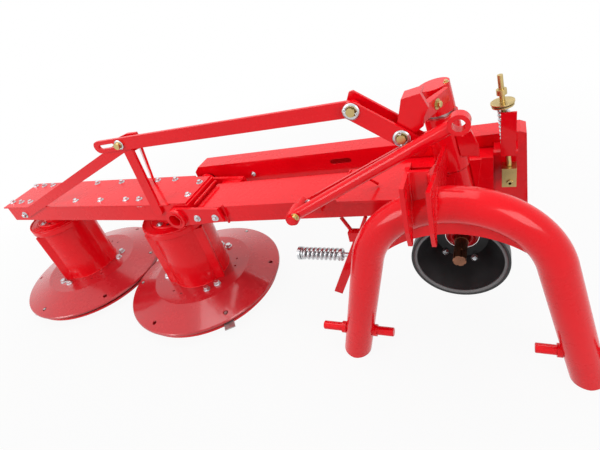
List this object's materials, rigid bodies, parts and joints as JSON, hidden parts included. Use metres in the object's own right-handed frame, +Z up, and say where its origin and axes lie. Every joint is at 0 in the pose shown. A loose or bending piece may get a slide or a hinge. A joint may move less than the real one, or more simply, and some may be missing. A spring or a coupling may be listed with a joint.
{
  "type": "rotary drum mower",
  "caption": "Tractor-mounted drum mower: cutting drums with discs under a box beam, hinged to a main beam that swings on a leaning pivot in an arched hitch frame.",
  "frame": {"origin": "middle of the whole machine's footprint, on the floor that the skid dishes and the arch's feet stand on", "axes": "+X along the beams from the outer drum to the hitch, +Y away from the tractor, +Z up"},
  "size_m": [2.494, 0.666, 0.824],
  "materials": {
    "red_paint": "gloss",
    "zinc_steel": "bright zinc",
    "yellow_zinc": "yellow zinc plating",
    "bare_shaft": "oiled, rust tinted",
    "knife_steel": "ground",
    "black_plastic": "moulded",
    "cast_grey": "cast, dark"
  },
  "bodies": {
    "hitch_frame": {"hitch_arch": "red_paint", "arch_web": "red_paint", "hitch_pins": "red_paint", "cheek_left": "red_paint", "cheek_right": "red_paint", "head_panel": "red_paint", "head_deck": "red_paint", "pivot_tube": "red_paint", "ring_bracket": "red_paint"},
    "swing_head": {"pivot_shaft": "red_paint", "pivot_cap": "red_paint", "head_block": "red_paint", "tilt_pin": "red_paint", "lever_pivot_pin": "yellow_zinc"},
    "main_beam": {"main_beam": "red_paint", "beam_top_plate": "red_paint", "hinge_arms": "red_paint", "beam_fork": "red_paint", "beam_lug": "red_paint", "belt_guard": "red_paint", "drive_box": "red_paint", "input_housing": "red_paint", "shaft_guard": "black_plastic", "tensioner_bracket": "red_paint", "tensioner_rod": "yellow_zinc", "tensioner_spring": "zinc_steel", "tensioner_clevis": "yellow_zinc", "release_hanger": "red_paint", "release_rod": "zinc_steel", "release_lever": "red_paint", "release_spring": "zinc_steel", "hook_rod": "red_paint"},
    "input_shaft": {"input_shaft": "bare_shaft", "drive_pulley": "cast_grey"},
    "driven_pulley": {"driven_pulley": "cast_grey"},
    "cutter_unit": {"cutter_beam": "red_paint", "cover_plate": "red_paint", "stay_outer": "red_paint", "stay_inner": "red_paint", "stay_rear": "red_paint", "hinge_pins": "red_paint", "drum_cap_inner": "red_paint", "drum_cap_outer": "red_paint"},
    "drum_inner": {"drum_inner": "red_paint", "disc_inner": "red_paint", "knives_inner": "knife_steel"},
    "drum_outer": {"drum_outer": "red_paint", "disc_outer": "red_paint", "knives_outer": "knife_steel"},
    "skid_dish_inner": {"skid_dish_inner": "red_paint"},
    "skid_dish_outer": {"skid_dish_outer": "red_paint"},
    "lever": {"lever": "red_paint", "lever_tip_pin": "yellow_zinc"},
    "long_bar": {"long_bar": "red_paint", "apex_pin": "yellow_zinc"},
    "flat_link": {"flat_link": "red_paint"},
    "transport_rod": {"transport_rod": "red_paint"}
  },
  "joints": [
    {"name": "head_swing", "type": "hinge", "parent": "hitch_frame", "child": "swing_head", "pos_m": [0.779, 0.03, 0.718], "axis": [0.1564, 0, -0.9877], "range_deg": [0, 90]},
    {"name": "beam_tilt", "type": "hinge", "parent": "swing_head", "child": "main_beam", "pos_m": [0.723, 0, 0.462], "axis": [0, 1, 0], "range_deg": [-4, 3]},
    {"name": "input_spin", "type": "hinge", "parent": "main_beam", "child": "input_shaft", "pos_m": [0.831, 0, 0.355], "axis": [0, 1, 0], "continuous": true},
    {"name": "driven_pulley_spin", "type": "hinge", "parent": "main_beam", "child": "driven_pulley", "pos_m": [-0.121, 0, 0.448], "axis": [0, 1, 0], "continuous": true},
    {"name": "cutter_hinge", "type": "hinge", "parent": "main_beam", "child": "cutter_unit", "pos_m": [-0.121, 0, 0.448], "axis": [0, 1, 0], "range_deg": [-8, 12]},
    {"name": "drum_inner_spin", "type": "hinge", "parent": "cutter_unit", "child": "drum_inner", "pos_m": [-0.239, 0, 0.1], "axis": [0, 0, 1], "continuous": true},
    {"name": "drum_outer_spin", "type": "hinge", "parent": "cutter_unit", "child": "drum_outer", "pos_m": [-0.914, 0, 0.1], "axis": [0, 0, 1], "continuous": true},
    {"name": "skid_dish_inner_spin", "type": "hinge", "parent": "cutter_unit", "child": "skid_dish_inner", "pos_m": [-0.239, 0, 0.01], "axis": [0, 0, 1], "continuous": true},
    {"name": "skid_dish_outer_spin", "type": "hinge", "parent": "cutter_unit", "child": "skid_dish_outer", "pos_m": [-0.914, 0, 0.01], "axis": [0, 0, 1], "continuous": true},
    {"name": "lever_turn", "type": "hinge", "parent": "swing_head", "child": "lever", "pos_m": [0.712, -0.117, 0.704], "axis": [0, 1, 0], "range_deg": [-20, 20]},
    {"name": "long_bar_turn", "type": "hinge", "parent": "lever", "child": "long_bar", "pos_m": [0.6, -0.117, 0.785], "axis": [0, 1, 0], "range_deg": [-30, 30]},
    {"name": "flat_link_turn", "type": "hinge", "parent": "main_beam", "child": "flat_link", "pos_m": [0.414, -0.117, 0.507], "axis": [0, 1, 0], "range_deg": [-20, 20]},
    {"name": "transport_rod_turn", "type": "hinge", "parent": "main_beam", "child": "transport_rod", "pos_m": [0.379, -0.168, 0.498], "axis": [0, -1, 0], "range_deg": [0, 90]}
  ],
  "couplings": [
    {"joint": "driven_pulley_spin", "follows": "input_spin", "ratio": 2},
    {"joint": "drum_inner_spin", "follows": "input_spin", "ratio": 3.5},
    {"joint": "drum_outer_spin", "follows": "input_spin", "ratio": -3.5},
    {"joint": "lever_turn", "follows": "beam_tilt", "ratio": -4.5},
    {"joint": "long_bar_turn", "follows": "beam_tilt", "ratio": 6.1},
    {"joint": "flat_link_turn", "follows": "beam_tilt", "ratio": -0.47}
  ]
}
